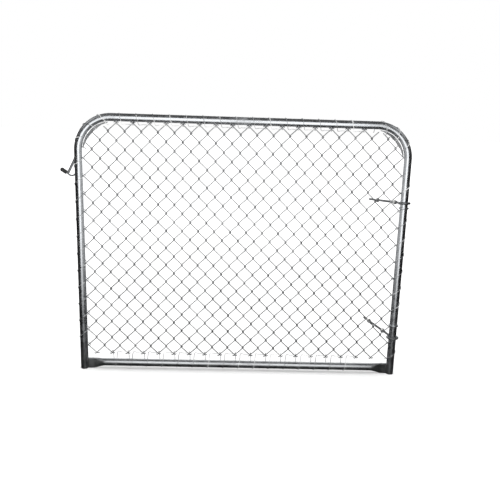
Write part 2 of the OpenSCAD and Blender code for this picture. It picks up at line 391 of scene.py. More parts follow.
def low_darkening_group() -> bpy.types.NodeTree:
    """Ragged patches that darken the colour near the ground and thin out with height above it."""
    tree, given, out = group_tree("low_darkening", [("Height", 0.25), ("Amount", 0.5)], ["Mask"])
    coords = object_coords(tree)
    axes = tree.nodes.new("ShaderNodeSeparateXYZ")
    tree.links.new(coords, axes.inputs[0])
    level = math_node(tree, "DIVIDE", axes.outputs["Z"], given.outputs["Height"])
    patch = noise(tree, coords, 38.0, 5.0)
    # Darkens the colour towards the ground, broken up by noise.
    mask = ranged(tree, weighted(tree, level, 1.0, patch, -0.9), -0.35, 0.75, 1.0, 0.0)
    tree.links.new(math_node(tree, "MULTIPLY", mask, given.outputs["Amount"], True), out.inputs["Mask"])
    return tree


class Effects:
    """The node groups that the finishes share, each built once."""

    def __init__(self) -> None:
        """Builds the groups."""
        self.spangle = spangle_group()
        self.oxide = oxide_group()
        self.low_dark = low_darkening_group()

    def place(
        self, material: bpy.types.Material, group: bpy.types.NodeTree, **values: float
    ) -> bpy.types.Node:
        """Puts a group into a material.

        Args:
            material: The material.
            group: The group to place.
            **values: The group's inputs, by lower-case name.

        Returns:
            The group's node.
        """
        node = material.node_tree.nodes.new("ShaderNodeGroup")
        node.node_tree = group
        for label, value in values.items():
            node.inputs[label.capitalize()].default_value = value
        return node


def new_material(name: str) -> tuple:
    """Makes an empty node material.

    Args:
        name: The material's name.

    Returns:
        The material and its Principled BSDF node.
    """
    material = bpy.data.materials.new(name)
    material.use_nodes = True
    tree = material.node_tree
    tree.nodes.clear()
    shader = tree.nodes.new("ShaderNodeBsdfPrincipled")
    output = tree.nodes.new("ShaderNodeOutputMaterial")
    tree.links.new(shader.outputs["BSDF"], output.inputs["Surface"])
    return material, shader


def add_bump(
    tree: bpy.types.NodeTree, shader: bpy.types.Node, height: object, strength: float, depth: float
) -> None:
    """Feeds a height into a shader's normal.

    Args:
        tree: The node tree.
        shader: The Principled BSDF node.
        height: The height's socket.
        strength: The bump's strength.
        depth: The bump's depth in metres.
    """
    bump = tree.nodes.new("ShaderNodeBump")
    bump.inputs["Strength"].default_value = strength
    bump.inputs["Distance"].default_value = depth
    tree.links.new(height, bump.inputs["Height"])
    tree.links.new(bump.outputs["Normal"], shader.inputs["Normal"])


def blend_colours(tree: bpy.types.NodeTree, mask: object, a: object, b: object) -> object:
    """Mixes two colours by a mask.

    Args:
        tree: The node tree.
        mask: The mask socket.
        a: The colour where the mask is 0, as a tuple or a socket.
        b: The colour where the mask is 1, as a tuple or a socket.

    Returns:
        The mixed colour's socket.
    """
    node = tree.nodes.new("ShaderNodeMix")
    node.data_type = "RGBA"
    tree.links.new(mask, node.inputs["Factor"])
    for label, value in (("A", a), ("B", b)):
        socket = next(s for s in node.inputs if s.name == label and s.type == "RGBA")
        if isinstance(value, bpy.types.NodeSocket):
            tree.links.new(value, socket)
        else:
            socket.default_value = (*value, 1.0)
    return next(s for s in node.outputs if s.type == "RGBA")


@dataclass(frozen=True)
class ZincFinish:
    """A zinc-coated steel surface: spangle, pale oxide and darkening near the ground."""

    name: str
    bright: tuple = (0.74, 0.76, 0.78)
    dull: tuple = (0.56, 0.58, 0.60)
    oxide_tint: tuple = (0.62, 0.63, 0.63)
    low_dark_tint: tuple = (0.10, 0.095, 0.085)
    spangle_scale: float = 70.0
    grain: float = 900.0
    oxide_scale: float = 14.0
    oxide: float = 0.3
    low_dark_height: float = 0.22
    low_dark: float = 0.5
    rough_low: float = 0.22
    rough_high: float = 0.36
    patch_rough: float = 0.4
    bump: float = 0.25
    bump_depth: float = 0.4 * MM

    def build(self, effects: Effects) -> bpy.types.Material:
        """Builds the material.

        Args:
            effects: The shared node groups.

        Returns:
            The material.
        """
        material, shader = new_material(self.name)
        tree = material.node_tree
        spangle = effects.place(material, effects.spangle, scale=self.spangle_scale, grain=self.grain)
        oxide = effects.place(material, effects.oxide, scale=self.oxide_scale, amount=self.oxide)
        low_dark = effects.place(material, effects.low_dark, height=self.low_dark_height, amount=self.low_dark)
        zinc = blend_colours(tree, spangle.outputs["Tone"], self.dull, self.bright)
        chalky = blend_colours(tree, oxide.outputs["Mask"], zinc, self.oxide_tint)
        # Darkens the colour near the ground in ragged patches.
        darkened = blend_colours(tree, low_dark.outputs["Mask"], chalky, self.low_dark_tint)
        tree.links.new(darkened, shader.inputs["Base Color"])
        cover = math_node(tree, "MAXIMUM", oxide.outputs["Mask"], low_dark.outputs["Mask"])
        bare = math_node(tree, "SUBTRACT", 1.0, oxide.outputs["Mask"], True)
        tree.links.new(bare, shader.inputs["Metallic"])
        rough = ranged(tree, spangle.outputs["Tone"], 0.0, 1.0, self.rough_low, self.rough_high)
        spread = math_node(tree, "ADD", rough, math_node(tree, "MULTIPLY", cover, self.patch_rough), True)
        tree.links.new(spread, shader.inputs["Roughness"])
        add_bump(tree, shader, spangle.outputs["Height"], self.bump, self.bump_depth)
        return material


@dataclass(frozen=True)
class SleeveFinish:
    """Black plastic with a fine moulded grain and a little pale dust."""

    name: str
    colour: tuple = (0.012, 0.012, 0.013)
    dust_tint: tuple = (0.10, 0.10, 0.10)
    dust: float = 0.35
    dust_scale: float = 60.0
    rough_low: float = 0.38
    rough_high: float = 0.7
    grain: float = 1600.0
    bump: float = 0.3
    bump_depth: float = 0.2 * MM

    def build(self, effects: Effects) -> bpy.types.Material:
        """Builds the material.

        Args:
            effects: The shared node groups.

        Returns:
            The material.
        """
        material, shader = new_material(self.name)
        tree = material.node_tree
        dust = effects.place(material, effects.oxide, scale=self.dust_scale, amount=self.dust).outputs["Mask"]
        tree.links.new(blend_colours(tree, dust, self.colour, self.dust_tint), shader.inputs["Base Color"])
        rough = ranged(tree, dust, 0.0, 0.5, self.rough_low, self.rough_high)
        tree.links.new(rough, shader.inputs["Roughness"])
        add_bump(tree, shader, noise(tree, object_coords(tree), self.grain, 2.0), self.bump, self.bump_depth)
        return material


@dataclass(frozen=True)
class FloorFinish:
    """A plain, pale studio floor that brightens into the backdrop."""

    name: str
    low: tuple = (0.90, 0.90, 0.90)
    high: tuple = (0.94, 0.94, 0.94)
    cloud_scale: float = 1.5
    centre: tuple = (-0.7, 0.0, 0.0)
    near: float = 1.0
    far: float = 4.0
    near_glow: float = 0.12
    far_glow: float = 0.5

    def build(self) -> bpy.types.Material:
        """Builds the material and returns it."""
        material, shader = new_material(self.name)
        tree = material.node_tree
        cloud = noise(tree, object_coords(tree), self.cloud_scale, 3.0)
        tree.links.new(blend_colours(tree, cloud, self.low, self.high), shader.inputs["Base Color"])
        shader.inputs["Roughness"].default_value = 0.9
        shader.inputs["Specular IOR Level"].default_value = 0.0
        reach = tree.nodes.new("ShaderNodeVectorMath")
        reach.operation = "DISTANCE"
        reach.inputs[1].default_value = self.centre
        tree.links.new(object_coords(tree), reach.inputs[0])
        shader.inputs["Emission Color"].default_value = (1.0, 1.0, 1.0, 1.0)
        glow = ranged(tree, reach.outputs["Value"], self.near, self.far, self.near_glow, self.far_glow)
        tree.links.new(glow, shader.inputs["Emission Strength"])
        return material


class Finishes:
    """Every finish of the gate, by material slot."""

    def __init__(self) -> None:
        """Builds the materials."""
        effects = Effects()
        wire = dict(spangle_scale=260.0, grain=1800.0, bump_depth=0.1 * MM)
        self.by_slot = {
            Slot.TUBE: ZincFinish("galvanised_tube", oxide=0.04, low_dark=0.15).build(effects),
            Slot.BAR: ZincFinish(
                "galvanised_bar", bright=(0.34, 0.35, 0.36), dull=(0.20, 0.21, 0.22),
                oxide_tint=(0.30, 0.31, 0.31), spangle_scale=180.0, oxide=0.25, rough_low=0.32, rough_high=0.48,
            ).build(effects),
            Slot.MESH: ZincFinish(
                "mesh_wire_zinc", bright=(0.45, 0.46, 0.47), dull=(0.28, 0.29, 0.30),
                oxide_tint=(0.31, 0.31, 0.31), oxide=0.7, low_dark_height=0.5, low_dark=0.15,
                rough_low=0.28, rough_high=0.42, **wire,
            ).build(effects),
            Slot.LACING: ZincFinish(
                "lacing_wire_zinc", bright=(0.84, 0.85, 0.86), dull=(0.66, 0.67, 0.68),
                oxide_tint=(0.78, 0.78, 0.77), oxide=1.0, low_dark=0.1, rough_low=0.25, rough_high=0.4, **wire,
            ).build(effects),
            Slot.FASTENER: ZincFinish(
                "zinc_fastener", bright=(0.88, 0.89, 0.88), dull=(0.72, 0.73, 0.72), spangle_scale=400.0,
                oxide=0.15, low_dark=0.15, rough_low=0.3, rough_high=0.45,
            ).build(effects),
            Slot.WELD: ZincFinish(
                "painted_weld", bright=(0.42, 0.43, 0.44), dull=(0.24, 0.24, 0.25), spangle_scale=500.0,
                oxide=0.35, low_dark=0.6, rough_low=0.4, rough_high=0.6, bump=0.6,
            ).build(effects),
            Slot.SLEEVE: SleeveFinish("black_sleeve").build(effects),
        }

    def dress(self, piece: bpy.types.Object, slot: Slot, body: str, *nodes: str) -> None:
        """Gives a piece its finish, its body and the CAD nodes it stands for.

        Args:
            piece: The piece.
            slot: Its material slot.
            body: The CAD body it rides on.
            *nodes: CAD nodes that it replaces.
        """
        piece.data.materials.clear()
        piece.data.materials.append(self.by_slot[slot])
        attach(piece, body)
        if nodes:
            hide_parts(*nodes)
        log.info("%s rides on %s with finish %s", piece.name, body, slot.value)


# ---------------------------------------------------------------- the hoop's geometry


@dataclass
class GateLines:
    """The gate's centre lines, read from the frame's own boxes.

    The frame's mesh wires are square bars with the round wire's area, and their boxes reach half a bar past the
    centre lines.
    """

    bend_r: float = 140 * MM
    tube_wall: float = 2.6 * MM
    wire_r: float = 2.0 * MM
    lace_r: float = 1.25 * MM
    hook_over: float = 3.15 * MM
    tube_r: float = field(init=False)
    span: float = field(init=False)
    top_z: float = field(init=False)
    first_col: float = field(init=False)
    col_step: float = field(init=False)
    first_row_z: float = field(init=False)
    row_step: float = field(init=False)
    bend_z: float = field(init=False)
    arc: float = field(init=False)
    top_run: float = field(init=False)

    def __post_init__(self) -> None:
        """Reads the sizes from the CAD boxes."""
        bar = self.wire_r * math.sqrt(math.pi)
        low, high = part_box("frame_hoop")
        self.tube_r = (high.y - low.y) / 2
        self.span = high.x - low.x - 2 * self.tube_r
        self.top_z = high.z - self.tube_r
        edge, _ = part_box("mesh_wire_01")
        self.first_col = edge.x + self.hook_over + bar / 2 + self.span
        self.col_step = (self.span - 2 * self.first_col) / MESH_WIRES
        low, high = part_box("mesh_wire_20")
        self.first_row_z = high.z - bar / 2
        self.row_step = (high.z - low.z - bar) / MESH_ROWS
        self.bend_z = self.top_z - self.bend_r
        self.arc = self.bend_r * math.pi / 2
        self.top_run = self.span - 2 * self.bend_r

    def col_x(self, column: int) -> float:
        """Returns the X of a mesh column, counted from the latch leg."""
        return self.first_col + column * self.col_step - self.span

    def row_z(self, row: float) -> float:
        """Returns the height of a mesh row, counted from the top."""
        return self.first_row_z - row * self.row_step

    def turn(self, run: float) -> float:
        """Returns how far the hoop has turned, in radians, at a run from the latch leg's foot."""
        first = (run - self.bend_z) / self.bend_r
        second = (run - self.bend_z - self.arc - self.top_run) / self.bend_r
        quarter = math.pi / 2
        return min(max(first, 0.0), quarter) + min(max(second, 0.0), quarter)

    def at(self, run: float) -> np.ndarray:
        """Returns the point of the hoop's centre line at a run from the latch leg's foot."""
        inward = self.inward(run)
        if run <= self.bend_z:
            return np.array([-self.span, 0.0, run])
        if run <= self.bend_z + self.arc:
            return np.array([self.bend_r - self.span, 0.0, self.bend_z]) - self.bend_r * inward
        if run <= self.bend_z + self.arc + self.top_run:
            return np.array([run - self.bend_z - self.arc + self.bend_r - self.span, 0.0, self.top_z])
        if run <= self.bend_z + 2 * self.arc + self.top_run:
            return np.array([-self.bend_r, 0.0, self.bend_z]) - self.bend_r * inward
        return np.array([0.0, 0.0, self.full_run() - run])

    def inward(self, run: float) -> np.ndarray:
        """Returns the direction from the hoop's centre line into the mesh."""
        turn = self.turn(run)
        return np.array([math.cos(turn), 0.0, -math.sin(turn)])

    def full_run(self) -> float:
        """Returns the length of the hoop's centre line, foot to foot."""
        return 2 * self.bend_z + 2 * self.arc + self.top_run

    def run_of_top(self, x: float) -> float:
        """Returns the run of a point on the top tube."""
        return self.bend_z + self.arc + x + self.span - self.bend_r

    def run_of_hinge_leg(self, z: float) -> float:
        """Returns the run of a point on the hinge leg."""
        return self.full_run() - z

    def corner_distance(self, point: np.ndarray) -> float:
        """Returns how far a point lies from the nearer bend's centre, or 0 outside the corners."""
        edge = min(point[0] + self.span, -point[0])
        if edge >= self.bend_r or point[2] <= self.bend_z:
            return 0.0
        return math.hypot(self.bend_r - edge, point[2] - self.bend_z)


# ---------------------------------------------------------------- sub-assemblies


@dataclass
class TubeFrame:
    """The bent hoop and the bottom rail, with the welds between them."""

    lines: GateLines
    sides: int = 56
    ovality: float = 0.035
    foot_bevel: float = 0.6 * MM
    foot_rings: tuple = (0.0, 1.5 * MM, 6 * MM)
    blade_h: float = 48 * MM
    blade_t: float = 9 * MM
    press_len: float = 78 * MM
    blade_len: float = 20 * MM
    blade_gap: float = 0.1 * MM
    lace_gap: float = 0.35 * MM
    weld_ripple: float = 3.1 * MM

    def hoop(self) -> bpy.types.Object:
        """Builds the hoop as an open-ended tube, a little flattened in its bends."""
        g = self.lines
        full, top_start = g.full_run(), g.bend_z + g.arc
        above_foot = 30 * MM
        marks = list(self.foot_rings) + list(np.linspace(above_foot, g.bend_z, 40))
        marks += list(g.bend_z + np.linspace(0.02, 1, 34) * g.arc)
        marks += list(top_start + np.linspace(0.01, 1, 48) * g.top_run)
        marks += list(top_start + g.top_run + np.linspace(0.02, 1, 34) * g.arc)
        other_leg = list(self.foot_rings) + list(np.linspace(above_foot, g.bend_z * 0.98, 40))
        marks += [full - m for m in reversed(other_leg)]
        bevels = [self.foot_bevel if run in (0.0, full) else 0.0 for run in marks]
        outside = [self.hoop_ring(run, g.tube_r - bevel) for run, bevel in zip(marks, bevels)]
        inside = [self.hoop_ring(run, g.tube_r - g.tube_wall) for run in reversed(marks)]
        faces = turned_over(ring_faces(2 * len(marks), self.sides, looped=True))
        return mesh_piece("hoop_tube", np.concatenate(outside + inside), faces)

    def hoop_ring(self, run: float, radius: float) -> np.ndarray:
        """Works out one ring of the hoop.

        Args:
            run: Its place along the hoop.
            radius: Its radius before the bend flattens it.

        Returns:
            Points round the ring.
        """
        g = self.lines
        angle = even_turn(self.sides)
        bent = math.sin(2 * min(g.turn(run), math.pi - g.turn(run)))
        flat = 1 - self.ovality * max(bent, 0.0)
        across = flat * np.cos(angle)[:, None] * g.inward(run)
        return g.at(run) + radius * (across + np.sin(angle)[:, None] * np.array([0.0, 1.0, 0.0]))

    def rail_ring(self, share: float) -> np.ndarray:
        """Works out one ring of the rail's press, across its length.

        Args:
            share: 0 for the round tube, 1 for the flat blade.

        Returns:
            Points round the ring as [y, z], about the round tube's axis.
        """
        angle, radius = even_turn(self.sides), self.lines.tube_r
        low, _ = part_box("bottom_rail")
        drop = (low.z + self.blade_h / 2 - self.rail_z()) * share
        half_y = radius + (self.blade_t / 2 - radius) * share
        half_z = radius + (self.blade_h / 2 - radius) * share
        flat_face, round_edge = 1 - 0.72 * share, 1 - 0.15 * share
        y = half_y * np.sign(np.sin(angle)) * np.abs(np.sin(angle)) ** flat_face
        z = half_z * np.sign(np.cos(angle)) * np.abs(np.cos(angle)) ** round_edge + drop
        return np.stack([y, z], 1)

    def rail_z(self) -> float:
        """Returns the height of the rail's axis, from the lowest point of the lacing round it."""
        lace_low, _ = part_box("lacing_rail")
        loop = (self.lines.tube_r + self.lines.lace_r + self.lace_gap) / math.cos(math.pi / 8)
        return lace_low.z + loop + self.lines.lace_r

    def rail(self) -> bpy.types.Object:
        """Builds the bottom rail with both ends pressed into upright blades."""
        g = self.lines
        reach = g.span / 2 - g.tube_r - self.blade_gap
        press = np.linspace(0, 1, 30)
        pressed = np.clip(press * self.press_len / (self.press_len - self.blade_len), 0, 1)
        ease = pressed * pressed * (3 - 2 * pressed)
        middle = [(x, 0.0) for x in np.linspace(0, reach - self.press_len, 20)[:-1]]
        half = middle + list(zip(reach - self.press_len * (1 - press), ease))
        rows = []
        for x, share in [(-x, share) for x, share in reversed(half[1:])] + half:
            y, z = self.rail_ring(share).T
            at_end = abs(x) > reach - 0.001 * MM
            saddle = np.zeros(self.sides)
            if at_end:
                saddle = g.tube_r - np.sqrt(np.maximum(g.tube_r**2 - y**2, 0.0))
            rows.append(np.stack([x - g.span / 2 + np.sign(x) * saddle, y, self.rail_z() + z], 1))
        faces = ring_faces(len(rows), self.sides, capped=True)
        return mesh_piece("bottom_rail_tube", np.concatenate(rows), faces)

    def welds(self) -> bpy.types.Object:
        """Builds rippled fillet welds up both faces of each blade."""
        g = self.lines
        low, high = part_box("rail_welds")
        rng = np.random.default_rng(5)
        z = np.linspace(low.z + 2 * MM, high.z - 2 * MM, 46)
        ripple = 0.35 * np.sin(z * 2 * math.pi / self.weld_ripple)
        parts = []
        for leg_x, inward in ((0.0, -1.0), (-g.span, 1.0)):
            x = np.full(len(z), leg_x + inward * (g.tube_r + 0.6 * MM))
            for face in (-1, 1):
                y = face * (self.blade_t / 2 + 1.1 * MM + rng.normal(0, 0.12 * MM, len(z)))
                radius = (2.1 + ripple + rng.normal(0, 0.08, len(z))) * MM
                radius[[0, -1]] = 0.5 * MM
                parts.append(swept_skin(np.stack([x, y, z], 1), radius, 12))
        return mesh_piece("rail_weld_beads", *joined(parts))

    def build(self, finishes: Finishes) -> None:
        """Builds and dresses the hoop, the rail and the welds."""
        finishes.dress(self.hoop(), Slot.TUBE, PANEL, "frame_hoop")
        finishes.dress(self.rail(), Slot.TUBE, PANEL, "bottom_rail")
        finishes.dress(self.welds(), Slot.WELD, PANEL, "rail_welds")


@dataclass
class DiamondMesh:
    """The woven mesh: zigzag wires, each hooked through its neighbour."""

    lines: GateLines
    sides: int = 10
    weave: float = 2.12 * MM
    straight_from: float = 8.0 * MM
    bend_round: float = 0.35 * MM
    belly: float = 3.0 * MM
    sway: float = 0.9 * MM
    corner_reach: float = 113 * MM
    corner_clear: float = 40 * MM

    def at_left(self, wire: int, row: int) -> bool:
        """Tells whether a wire bends at its left column on a row."""
        return (wire + row) % 2 == 0

    def node(self, wire: int, row: int) -> np.ndarray:
        """Returns where a wire bends on a row, in the mesh's own plane."""
        g = self.lines
        if self.at_left(wire, row):
            return np.array([g.col_x(wire) - g.hook_over, 0.0, g.row_z(row)])
        return np.array([g.col_x(wire + 1) + g.hook_over, 0.0, g.row_z(row)])

    def first_row(self, wire: int) -> int:
        """Returns the first row of a wire that clears the hoop's corner."""
        limit = self.lines.bend_r - self.corner_clear
        return next(r for r in range(MESH_ROWS) if self.lines.corner_distance(self.node(wire, r)) <= limit)

    def slack(self, points: np.ndarray) -> np.ndarray:
        """Moves points by the mesh's own slackness: a shallow belly and a gentle sway."""
        g = self.lines
        u = np.clip((points[:, 0] + g.span) / g.span, 0, 1)
        v = np.clip(points[:, 2] / g.top_z, 0, 1)
        window = np.clip(16 * u * (1 - u) * v * (1 - v), 0, 1)
        moved = points.copy()
        moved[:, 1] += self.belly * window * np.sin(5.1 * u + 1.3) * np.sin(4.3 * v + 0.4)
        moved[:, 0] += self.sway * window * np.sin(9.0 * v + 3.0 * u)
        moved[:, 2] += self.sway * window * np.sin(11.0 * u + 4.0 * v + 1.0)
        return moved

    def bend_points(self, wire: int, row: int, going_front: bool) -> list:
        """Returns the points of a bend that carries the wire from one layer to the other."""
        here = self.node(wire, row)
        a = self.weave if going_front else -self.weave
        out = -1.0 if self.at_left(wire, row) else 1.0
        rise = 0.55 * self.weave
        return [
            here + np.array([-out * self.bend_round, a * 0.8, rise]),
            here,
            here + np.array([-out * self.bend_round, -a * 0.8, -rise]),
        ]

    def knuckle(self, wire: int, row: int, last: bool) -> list:
        """Returns the points of a cut end, bent over its neighbour and back."""
        here = self.node(wire, row)
        left = self.at_left(wire, row)
        out = -1.0 if left else 1.0
        edge = min(here[0] + self.lines.span, -here[0]) < self.lines.first_col
        y = self.weave * (1.0 if left != last else -1.0)
        up = -1.0 if last else 1.0
        reach = 3.0 * MM if edge else 7.0 * MM
        out = -out if edge else out
        tail = [
            here + np.array([0.0, 0.0, 0.4 * MM * up]),
            here + np.array([out * 2.6 * MM, y * 1.1, 0.9 * MM * up]),
            here + np.array([out * reach * 0.75, y * 1.2, 0.1 * MM * up]),
            here + np.array([out * reach, y * 0.9, -2.2 * MM * up]),
        ]
        return tail if last else list(reversed(tail))

    def wire_path(self, wire: int) -> np.ndarray:
        """Returns the whole centre line of one wire."""
        top = self.first_row(wire)
        points = []
        if top == 0:
            points += self.knuckle(wire, 0, False)
        else:
            start, before = self.node(wire, top), self.node(wire, top - 1)
            steps = [start + (before - start) * s for s in np.linspace(0.9, 0.12, 7)]
            layer = self.weave if self.at_left(wire, top) else -self.weave
            kept = [s for s in steps if self.lines.corner_distance(s) <= self.corner_reach]
            points += [s + np.array([0.0, layer, 0.0]) for s in kept]
            points += self.bend_points(wire, top, self.at_left(wire, top))
        for row in range(top, MESH_ROWS):
            a, b = self.node(wire, row), self.node(wire, row + 1)
            along = (b - a) / np.linalg.norm(b - a)
            falls_right = self.at_left(wire, row)
            y = np.array([0.0, -self.weave if falls_right else self.weave, 0.0])
            first, last = a + along * self.straight_from, b - along * self.straight_from
            points += [first + y, (a + b) / 2 + y, last + y]
            if row + 1 < MESH_ROWS:
                points += self.bend_points(wire, row + 1, not falls_right)
        points += self.knuckle(wire, MESH_ROWS, True)
        return self.slack(smooth_path(points, 3))

    def build(self, finishes: Finishes) -> None:
        """Builds and dresses the wires one by one."""
        for wire in range(MESH_WIRES):
            label = f"{wire + 1:02d}"
            skin = swept_skin(self.wire_path(wire), self.lines.wire_r, self.sides)
            piece = mesh_piece(f"woven_wire_{label}", *skin)
            finishes.dress(piece, Slot.MESH, PANEL, f"mesh_wire_{label}")


@dataclass
class Lacing:
    """The wire wound round the tubes and through the edge of the mesh."""

    lines: GateLines
    sides: int = 8
    gap: float = 0.35 * MM
    half_pass: float = 5.6 * MM
    side_pass: float = 7.5 * MM
    top_pass: float = 10 * MM
    corner_reach: float = 30 * MM
    corner_break: float = 40 * MM
    corner_stop: float = 34 * MM

    def turn_points(self, reach: float) -> list:
        """Returns one turn as pairs of distance inward and Y, from the pass through the mesh on."""
        loop = self.lines.tube_r + self.lines.lace_r + self.gap
        points = [(reach, -self.half_pass), (reach + 0.8 * MM, 0.0), (reach, self.half_pass)]
        half_turn = [(loop * math.cos(a), loop * math.sin(a)) for a in np.radians([52, 75, 100, 130, 160])]
        points += half_turn + [(-loop, 0.0)] + [(inward, -y) for inward, y in reversed(half_turn)]
        points += [(reach - sag, -self.half_pass) for sag in (0.4 * MM, 1.6 * MM, 1.2 * MM)]
        return points

    def shares(self, lay: Lay) -> list:
        """Returns how far along its pitch each point of a turn lies."""
        if lay is Lay.SPIRAL:
            return [-0.03, 0.0, 0.03, 0.13, 0.2, 0.28, 0.35, 0.43, 0.5, 0.57, 0.65, 0.72, 0.8, 0.87]
        loop = [0.06, 0.08, 0.105, 0.13, 0.155, 0.18, 0.205, 0.23, 0.255, 0.28, 0.3]
        return [-0.03, 0.0, 0.03] + loop + [0.37, 0.58, 0.8]

    def wound(
        self,
        start: float,
        stop: float,
        turns: int,
        reach: float,
        lay: Lay,
        place: Callable[[float, float], np.ndarray],
    ) -> tuple:
        """Winds a stretch of tube.

        Args:
            start: Run where the first pass through the mesh lies.
            stop: Run where the last pass lies.
            turns: Number of turns between them.
            reach: How far inward each pass lies from the tube's axis.
            lay: How the wire lies between passes.
            place: Turns a run and a distance inward into a point of the gate's own plane.

        Returns:
            The wire's skin.
        """
        pitch = (stop - start) / turns
        last_share = 0.03
        points = []
        for t in range(turns + 1):
            for share, (inward, y) in zip(self.shares(lay), self.turn_points(reach)):
                if t < turns or share <= last_share:
                    points.append(place(start + (t + share) * pitch, inward) + np.array([0.0, y, 0.0]))
        return swept_skin(smooth_path(points, 4), self.lines.lace_r, self.sides)

    def on_hoop(self, start: float, stop: float, turns: int, reach: float, lay: Lay = Lay.SPIRAL) -> tuple:
        """Winds a stretch of the hoop, as wound() does."""
        g = self.lines

        def place(run: float, inward: float) -> np.ndarray:
            """Returns the point a distance inward of the hoop's axis."""
            return g.at(run) + inward * g.inward(run)

        return self.wound(start, stop, turns, reach, lay, place)

    def build(self, finishes: Finishes, rail_z: float) -> None:
        """Builds and dresses the lacing of every side.

        Args:
            finishes: The gate's finishes.
            rail_z: Height of the rail's axis.
        """
        g = self.lines
        side = g.first_col - g.hook_over + self.side_pass
        top = g.top_z - g.first_row_z + self.top_pass
        top_start, top_stop = (g.run_of_top(g.col_x(column)) for column in (4, MESH_WIRES - 5))

        def hinge_row(row: int) -> float:
            """Returns the run of a mesh row on the hinge leg."""
            return g.run_of_hinge_leg(g.row_z(row))

        latch_row = g.row_z(4)
        over_top = self.on_hoop(top_start, top_stop, 15, top, Lay.RUN)
        latch = [
            self.on_hoop(g.row_z(26), latch_row, 11, side),
            self.on_hoop(latch_row + self.corner_break, top_start - self.corner_break, 3, self.corner_reach),
        ]
        hinge = [
            self.on_hoop(top_stop + self.corner_break, hinge_row(3) - self.corner_stop, 3, self.corner_reach)
        ]
        hinge += [
            self.on_hoop(hinge_row(first), hinge_row(last), turns, side)
            for first, last, turns in ((5, 7, 1), (9, 21, 6), (25, 27, 1))
        ]
        rail_reach = g.row_z(MESH_ROWS) + self.top_pass - rail_z
        rail = self.wound(
            g.col_x(3), g.col_x(MESH_WIRES - 4), 16, rail_reach, Lay.RUN,
            lambda x, inward: np.array([x, 0.0, rail_z + inward]),
        )
        for name, skin, node in (
            ("lacing_wire_top", over_top, "lacing_top"),
            ("lacing_wire_latch_leg", joined(latch), "lacing_latch_leg"),
            ("lacing_wire_hinge_leg", joined(hinge), "lacing_hinge_leg"),
            ("lacing_wire_rail", rail, "lacing_rail"),
        ):
            finishes.dress(mesh_piece(name, *skin), Slot.LACING, PANEL, node)


@dataclass
class CornerTies:
    """Cut mesh ends rolled into a loose bundle along the inside of each bend."""

    lines: GateLines
    strands: int = 9
    sides: int = 6
    near: float = 20.5 * MM
    bow: float = 11 * MM
    seed: int = 11

    def strand(self, side: Side, index: int, rng: np.random.Generator) -> tuple:
        """Works out one strand of a bundle.

        Args:
            side: Which bend.
            index: The strand's number.
            rng: Source of the strand's own unevenness.

        Returns:
            The strand's skin.
        """
        g = self.lines
        share = index / (self.strands - 1)
        first, last = np.radians(rng.uniform(4, 12)), np.radians(rng.uniform(74, 84))
        t = np.linspace(0, 1, 46)
        turn = first + (last - first) * t
        inward = self.near + self.bow * share * np.sin(math.pi * t) ** 0.8
        inward += rng.uniform(0.2, 0.9) * MM * np.sin(t * rng.uniform(14, 24) + rng.uniform(0, 6))
        y = (rng.uniform(-3.6, 3.6) + 1.1 * np.sin(t * rng.uniform(9, 16) + rng.uniform(0, 6))) * MM
        radius = g.bend_r - inward
        from_leg = g.bend_r - radius * np.cos(turn)
        x = -from_leg if side is Side.HINGE else from_leg - g.span
        z = g.bend_z + radius * np.sin(turn)
        return swept_skin(np.stack([x, y, z], 1), g.wire_r * 0.8, self.sides)

    def build(self, finishes: Finishes) -> None:
        """Builds and dresses both bundles as one piece."""
        rng = np.random.default_rng(self.seed)
        parts = [self.strand(side, i, rng) for side in Side for i in range(self.strands)]
        finishes.dress(mesh_piece("corner_mesh_ends", *joined(parts)), Slot.MESH, PANEL, "corner_ties")


@dataclass
class StopCollars:
    """Rings welded round the hinge leg that keep the gate on its eyes."""

    lines: GateLines
    height: float = 6 * MM
    proud: float = 5 * MM
    round_edge: float = 1.1 * MM
    fit: float = 0.03 * MM

    def build(self, finishes: Finishes) -> None:
        """Builds and dresses both collars with a bead of weld on each."""
        low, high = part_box("stop_collars")
        g = self.lines
        inner, outer = g.tube_r + self.fit, g.tube_r + self.proud
        edge, half = self.round_edge, self.height / 2
        corner = [(half, outer - edge), (half - 0.3 * edge, outer - 0.3 * edge), (half - edge, outer)]
        profile = [(-half, inner)] + [(-y, r) for y, r in corner] + corner[::-1] + [(half, inner)]
        rng = np.random.default_rng(3)
        turn = even_turn(90)
        bead_r = g.tube_r + 1.0 * MM
        rings, beads = [], []
        for z in (low.z + half, high.z - half):
            points, faces = lathe(profile, 64)
            rings.append((np.stack([points[:, 0], points[:, 2], points[:, 1] + z], 1), faces))
            wander = 0.2 * MM * np.sin(3 * turn)
            loop = np.stack([bead_r * np.cos(turn), bead_r * np.sin(turn), z - half + wander], 1)
            radius = (1.7 + 0.3 * np.sin(turn * 30) + rng.normal(0, 0.06, len(turn))) * MM
            beads.append(swept_skin(loop, radius, 10, closed=True))
        finishes.dress(mesh_piece("collar_rings", *joined(rings)), Slot.TUBE, PANEL, "stop_collars")
        finishes.dress(mesh_piece("collar_weld_beads", *joined(beads)), Slot.WELD, PANEL)


